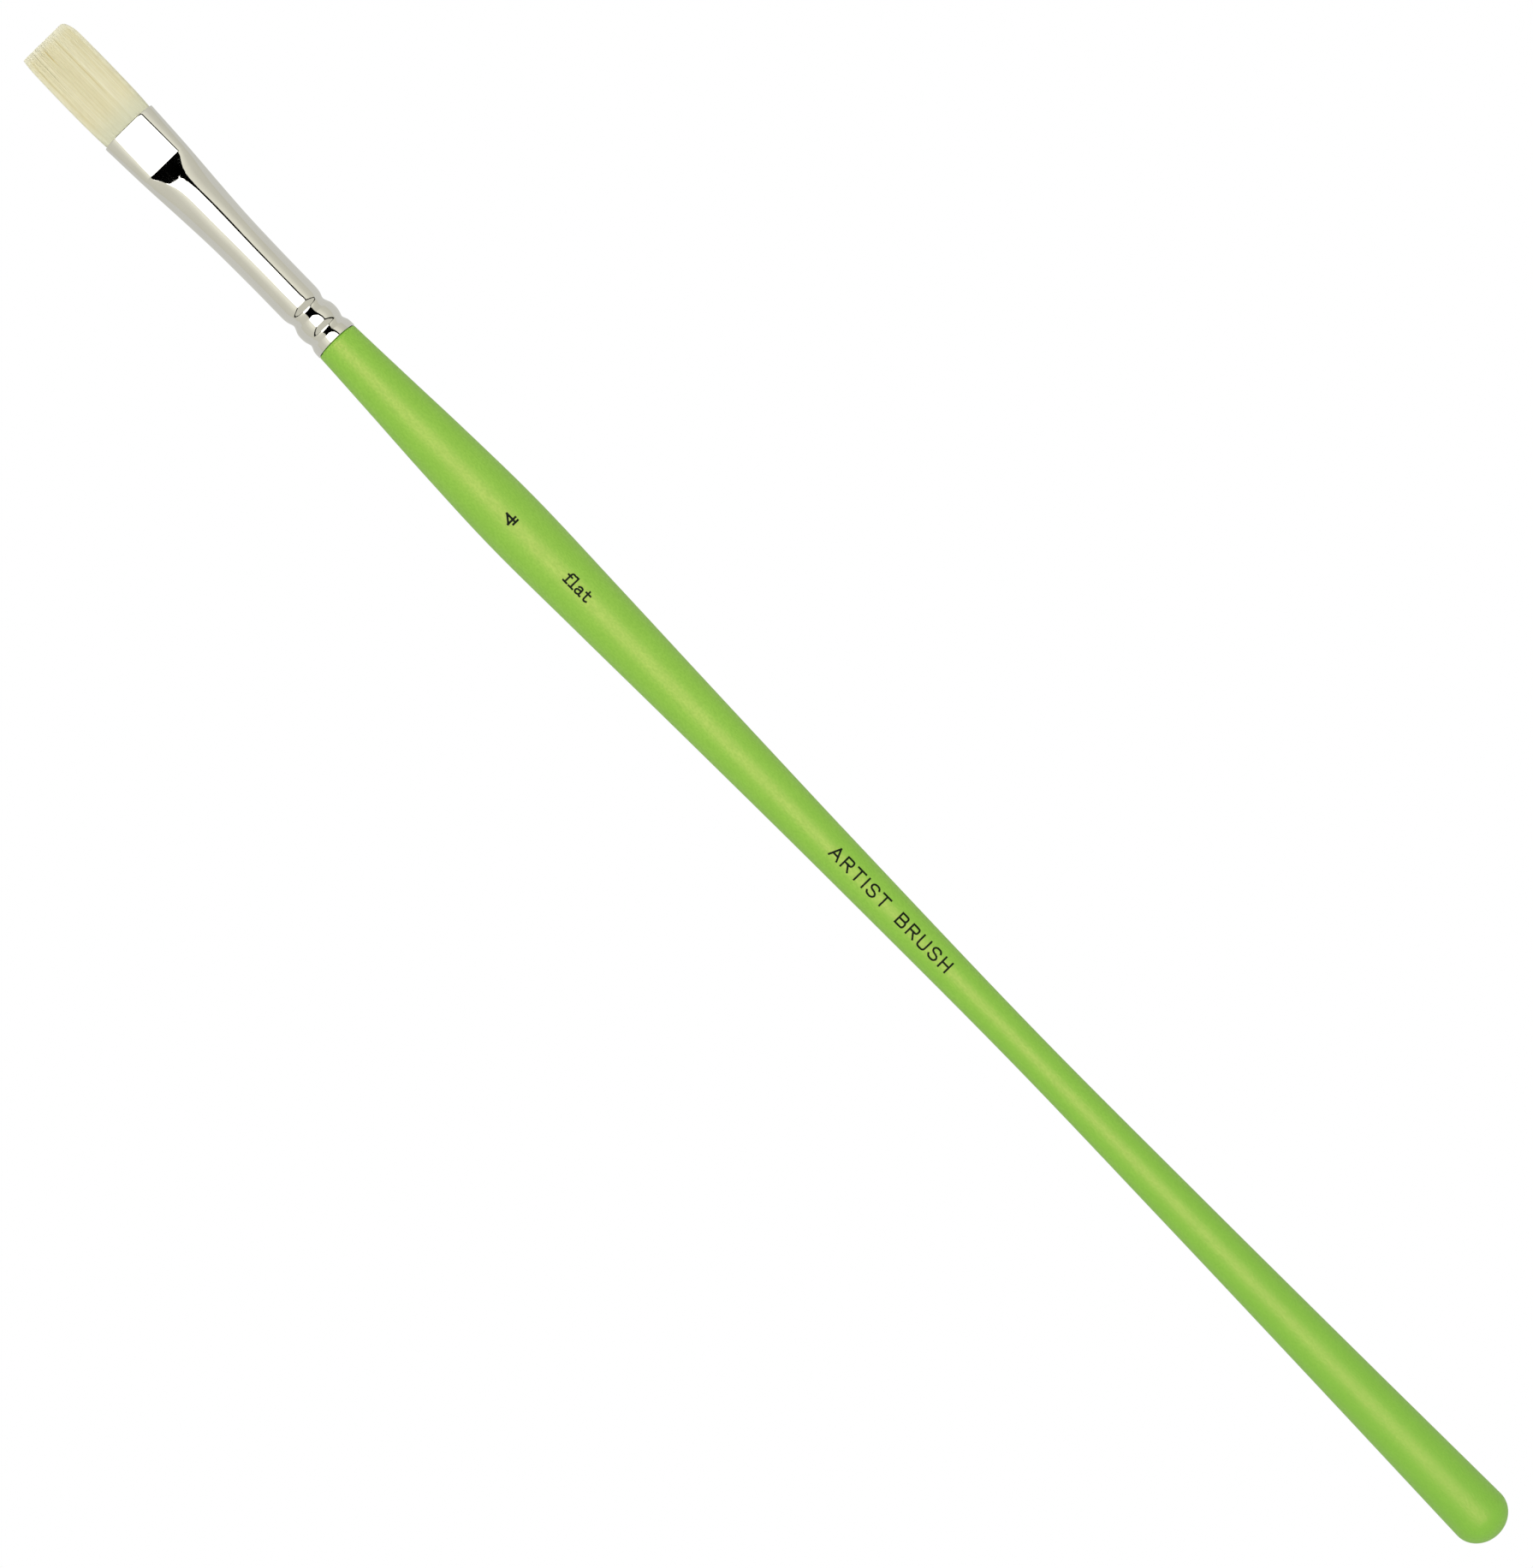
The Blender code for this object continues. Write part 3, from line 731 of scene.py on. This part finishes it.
def tuft_piece(name, stations, places, lengths, lean, tint, phase):
    """One length of every filament, as closed tubes that share one mesh."""
    sides, rings, number = FILAMENT_SIDES, len(stations), len(places)
    if stations[0] == 0.0:
        own = lengths[:, None] + stations[None, :] * (stations[-1] - lengths[:, None]) / stations[-1]
    else:
        own = np.maximum(stations[None, :], lengths[:, None] * np.ones(rings))
    half_width = np.array([[curve_through(TUFT_OUTLINE, s, 1) for s in row] for row in own])
    half_thickness = np.array([[curve_through(TUFT_OUTLINE, s, 2) for s in row] for row in own])
    radius = FILAMENT_RADIUS * np.interp(own, *zip(*FILAMENT_TAPER))
    y = places[:, :1] * (half_width - radius)
    z = places[:, 1:] * (half_thickness - radius)
    free = np.clip((MOUTH - own) / MOUTH, 0, 1)
    y = y + lean[:, :1] * free ** 2
    z = z + lean[:, 1:] * free ** 2
    corner = np.clip((-places[:, :1] - WORN_FROM) / WORN_SPAN, 0, 1)
    y = y + WORN_DEPTH * (corner * np.clip(1 - own / WORN_LENGTH, 0, 1) ** 2)
    angles = phase[:, None] + np.arange(sides)[None, :] * 2 * pi / sides
    ring_y = y[:, :, None] + radius[:, :, None] * np.cos(angles)[:, None, :]
    ring_z = z[:, :, None] + radius[:, :, None] * np.sin(angles)[:, None, :]
    points = np.stack([np.broadcast_to(TIP_X - own[:, :, None] * MM, ring_y.shape),
                       ring_y * MM, AXIS_Z + ring_z * MM], -1).reshape(-1, 3)
    corners, rows = np.arange(sides), np.arange(rings - 1)
    here = rows[:, None] * sides + corners[None, :]
    side_quads = np.stack([here, here + sides, rows[:, None] * sides + sides + (corners + 1) % sides,
                           rows[:, None] * sides + (corners + 1) % sides], -1).reshape(-1, 4)
    starts = np.arange(number) * rings * sides
    quads = (side_quads[None] + starts[:, None, None]).reshape(-1, 4).tolist()
    front = (corners[None] + starts[:, None]).tolist()
    back = ((rings - 1) * sides + corners[::-1][None] + starts[:, None]).tolist()
    mesh = bpy.data.meshes.new(name)
    mesh.from_pydata(points.tolist(), [], quads + front + back)
    bm = bmesh.new()
    bm.from_mesh(mesh)
    bmesh.ops.recalc_face_normals(bm, faces=bm.faces)
    bm.to_mesh(mesh)
    bm.free()
    shade = painted_shade_and_light(tint, places[:, 0], own / MOUTH)
    for label, values in (("tint", np.repeat(shade.reshape(-1), sides)),
                          ("along", np.repeat(own.reshape(-1), sides) / MOUTH)):
        attribute = mesh.attributes.new(label, "FLOAT", "POINT")
        attribute.data.foreach_set("value", values.astype(np.float32))
    mesh.shade_smooth()
    mesh.set_sharp_from_angle(angle=radians(75))
    piece = bpy.data.objects.new(name, mesh)
    bpy.context.scene.collection.objects.link(piece)
    return piece


def filament_material():
    """Cream synthetic filament: satin, a little uneven in colour, with painted shade that greys it where it
    enters the metal.
    """
    material, tree, shader = new_material("cream_filament", Roughness=0.60, Specular_IOR_Level=0.15)
    # the tint attribute holds painted shade in streaks and painted light at the sides
    tint = tree.nodes.new("ShaderNodeAttribute")
    tint.attribute_name = "tint"
    along = tree.nodes.new("ShaderNodeAttribute")
    along.attribute_name = "along"
    ramp = tree.nodes.new("ShaderNodeValToRGB")
    ramp.color_ramp.elements.new(TINTS[1][0])
    for element, (position, colour) in zip(ramp.color_ramp.elements, TINTS):
        element.position = position
        element.color = (*srgb(*colour), 1.0)
    tree.links.new(tint.outputs["Fac"], ramp.inputs[0])
    flecks = grain(tree, 0.7, stretch=6.0, detail=3.0, contrast=1.6)
    flecked = range_node(tree, flecks, 0.45, 0.9, 0.0, 0.4)
    body = colour_mix(tree, flecked, ramp.outputs[0], srgb(*FLECK_TINT))
    # painted shade: greyer where the filaments enter the ferrule
    root = range_node(tree, along.outputs["Fac"], 0.72, 1.0, 0.0, 0.75, smooth=True)
    base = colour_mix(tree, root, body, srgb(*ROOT_SHADE_TINT))
    end = range_node(tree, along.outputs["Fac"], 0.0, 0.09, 0.55, 0.0, smooth=True)
    tree.links.new(colour_mix(tree, end, base, srgb(*END_TINT)), shader.inputs["Base Color"])
    return material


random = np.random.default_rng(4)
places = tuft_places(random)
number = len(places)
worn_short = SHORT_BY * np.clip((-places[:, 0] - SHORT_FROM) / SHORT_SPAN, 0, 1)
lengths = np.abs(random.normal(0, 0.045, number)) + worn_short
lean = random.normal(0, 1, (number, 2)) * FILAMENT_LEAN
tint = np.clip(random.normal(0.62, 0.14, number), 0, 1)
phase = random.uniform(0, 2 * pi, number)
FILAMENTS = filament_material()
LENGTHS = (                              # name, stations, the bodies it joins, start and end of the bend
    ("tuft_lower_length", evenly(CUT_STATION, ROOT_STATION, 8), "body", "tuft_belly", 17.9, 12.0),
    ("tuft_upper_length", evenly(0.0, CUT_STATION, 12), "tuft_belly", "tuft_tip", 11.5, 5.0),
)
for name, stations, inner, outer, start, end in LENGTHS:
    piece = tuft_piece(name, np.array(stations), places, lengths, lean, tint, phase)
    piece.data.materials.append(FILAMENTS)
    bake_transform(piece)
    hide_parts(*(["tuft_root", "tuft_belly"] if inner == "body" else ["tuft_tip"]))


# --------------------------------------------------------------------------------------------
# The studio: a white table inside a light tent, with a softbox in its roof, dark gaps along the
# softbox's frame and the tent's seams, a black flag past the tuft, and a camera straight above.
# --------------------------------------------------------------------------------------------

FLOOR_SIZE = 4.0
FLOOR_GLOW = 0.70                        # what the metal sees of the table
CAMERA_HEIGHT = 0.730                    # above the brush's axis
CAMERA_PLACE = (0.83 * MM, 0.14 * MM)
CAMERA_TURN = radians(-134.234)
LENS = 112.07
SENSOR = 36.0
WHITE, BLACK = (1.0, 1.0, 1.0), (0.0, 0.0, 0.0)
TENT_COLOUR = (1.0, 0.985, 0.88)
# brightness of the tent's walls by height: from, to, brightness at each, added up
LEFT_WALL = ((0.0, 0.516, 0.66, 0.72), (0.516, 0.754, 0.0, 0.173), (0.754, 0.922, 0.0, 0.457))
RIGHT_WALL = ((0.0, 0.436, 0.64, 0.70), (0.436, 0.80, 0.0, 0.27))
BACK_WALL = 0.68
RIGHT_SEAM, LEFT_SEAM = 2.5, -2.18                     # how far each leans out, going back
SOFTBOX_BACK, SOFTBOX_FRONT = -0.28, 0.60              # slopes along the brush
SOFTBOX_RIGHT, GAP_RIGHT, SOFTBOX_LEFT = -0.60, -0.78, 0.42    # slopes across it
FLAG_LEFT = 0.42
FLAG_FOOT = 0.16                         # height below which the flag ends


def floor_material():
    """White to the camera, and pale grey in reflections."""
    material, tree, shader = new_material(
        "white_table", Base_Color=(0.0, 0.0, 0.0, 1.0), Roughness=0.9, Specular_IOR_Level=0.0)
    path = tree.nodes.new("ShaderNodeLightPath")
    reflected = (FLOOR_GLOW, FLOOR_GLOW, FLOOR_GLOW * 0.97)
    glow = colour_mix(tree, path.outputs["Is Camera Ray"], reflected, WHITE)
    tree.links.new(glow, shader.inputs["Emission Color"])
    shader.inputs["Emission Strength"].default_value = 1.0
    return material


bpy.ops.mesh.primitive_plane_add(size=FLOOR_SIZE, location=(0, 0, 0))
floor = bpy.context.object
floor.name = "table_top"
floor.data.materials.append(floor_material())


def line_mask(tree, value, target, half_width, spread):
    """1 where value is within half_width + spread * |value| of target."""
    off = math_node(tree, "ABSOLUTE", math_node(tree, "SUBTRACT", value, target))
    limit = math_node(tree, "MULTIPLY_ADD", math_node(tree, "ABSOLUTE", value), spread, half_width)
    return math_node(tree, "LESS_THAN", off, limit)


def all_of(tree, *masks):
    """1 where every mask is 1."""
    result = masks[0]
    for mask in masks[1:]:
        result = math_node(tree, "MULTIPLY", result, mask)
    return result


def wall_brightness(tree, height, runs):
    """Sum of the runs of a wall's brightness, each held at its end values outside its heights."""
    total = range_node(tree, height, *runs[0])
    for run in runs[1:]:
        total = math_node(tree, "ADD", total, range_node(tree, height, *run))
    return total


def studio_world():
    """Light by direction: across and along are slopes away from straight up."""
    world = bpy.data.worlds.new("studio")
    bpy.context.scene.world = world
    world.use_nodes = True
    tree = world.node_tree
    background = tree.nodes["Background"]
    direction = tree.nodes.new("ShaderNodeTexCoord")
    split = tree.nodes.new("ShaderNodeSeparateXYZ")
    tree.links.new(direction.outputs["Generated"], split.inputs[0])
    height = split.outputs[2]
    up = math_node(tree, "MAXIMUM", height, 0.001)
    along = math_node(tree, "DIVIDE", split.outputs[0], up)
    across = math_node(tree, "DIVIDE", split.outputs[1], up)

    def above(value, limit):
        return math_node(tree, "GREATER_THAN", value, limit)

    def below(value, limit):
        return math_node(tree, "LESS_THAN", value, limit)

    # walls of the tent: bright beside the softbox, darker towards the table
    left = wall_brightness(tree, height, LEFT_WALL)
    right = wall_brightness(tree, height, RIGHT_WALL)
    on_left = above(across, 0.0)
    walls = math_node(tree, "ADD", math_node(tree, "MULTIPLY", left, on_left),
                      math_node(tree, "MULTIPLY", right, math_node(tree, "SUBTRACT", 1.0, on_left)))
    # back wall, between two seams that leave the softbox's corners
    behind = below(along, SOFTBOX_BACK)
    past = math_node(tree, "SUBTRACT", along, SOFTBOX_BACK)
    right_seam = math_node(tree, "MULTIPLY_ADD", past, RIGHT_SEAM, SOFTBOX_RIGHT)
    left_seam = math_node(tree, "MULTIPLY_ADD", past, LEFT_SEAM, SOFTBOX_LEFT)
    back = all_of(tree, behind, above(across, right_seam), below(across, left_seam))
    walls = math_node(tree, "ADD", math_node(tree, "MULTIPLY", back, BACK_WALL),
                      math_node(tree, "MULTIPLY", walls, math_node(tree, "SUBTRACT", 1.0, back)))
    seams = all_of(tree, behind, math_node(tree, "MAXIMUM", line_mask(tree, across, right_seam, 0.12, 0.06),
                                           line_mask(tree, across, left_seam, 0.08, 0.05)))
    # the softbox, its dark frame on the right, and the black flag in front
    forward = range_node(tree, along, 0.0, SOFTBOX_FRONT)
    frame_width = math_node(tree, "MULTIPLY", forward, range_node(tree, along, 0.7, 1.1, 1.0, 0.0))
    softbox_right = math_node(tree, "MULTIPLY_ADD", forward, 0.25, SOFTBOX_RIGHT)
    gap_right = math_node(tree, "MULTIPLY_ADD", frame_width, 0.17, GAP_RIGHT)
    front = math_node(tree, "MINIMUM", math_node(tree, "MULTIPLY_ADD", across, 0.68, 0.64), SOFTBOX_FRONT)
    gap = all_of(tree, above(across, gap_right), above(along, SOFTBOX_BACK - 0.05),
                 below(across, math_node(tree, "ADD", softbox_right, 0.04)))
    flag = all_of(tree, above(along, front), above(across, gap_right), below(across, FLAG_LEFT),
                  above(height, FLAG_FOOT))
    dark = math_node(tree, "MAXIMUM", math_node(tree, "MAXIMUM", gap, flag), seams)
    lit = math_node(tree, "MULTIPLY", walls, math_node(tree, "SUBTRACT", 1.0, dark))
    softbox = all_of(tree, below(along, front), above(along, SOFTBOX_BACK), above(across, softbox_right),
                     range_node(tree, across, SOFTBOX_LEFT - 0.02, SOFTBOX_LEFT + 0.04, 1.0, 0.0))
    brightness = range_node(tree, across, SOFTBOX_RIGHT, SOFTBOX_LEFT, 2.0, 3.8)
    white = colour_mix(tree, math_node(tree, "MULTIPLY", brightness, 0.25), BLACK, (4.0, 4.0, 4.0))
    studio = colour_mix(tree, softbox, colour_mix(tree, lit, BLACK, TENT_COLOUR), white)
    seen = tree.nodes.new("ShaderNodeLightPath")
    shown = colour_mix(tree, seen.outputs["Is Camera Ray"], studio, WHITE)
    tree.links.new(shown, background.inputs["Color"])
    background.inputs["Strength"].default_value = 1.0


studio_world()
bpy.context.scene.view_settings.view_transform = "Standard"
bpy.context.scene.view_settings.look = "None"

camera_data = bpy.data.cameras.new("camera")
camera_data.lens = LENS
camera_data.sensor_width = SENSOR
camera_data.clip_start = 0.01
camera_data.clip_end = 20.0
camera = bpy.data.objects.new("camera", camera_data)
camera.location = (*CAMERA_PLACE, AXIS_Z + CAMERA_HEIGHT)
camera.rotation_euler = (0.0, 0.0, CAMERA_TURN)
bpy.context.scene.collection.objects.link(camera)
bpy.context.scene.camera = camera
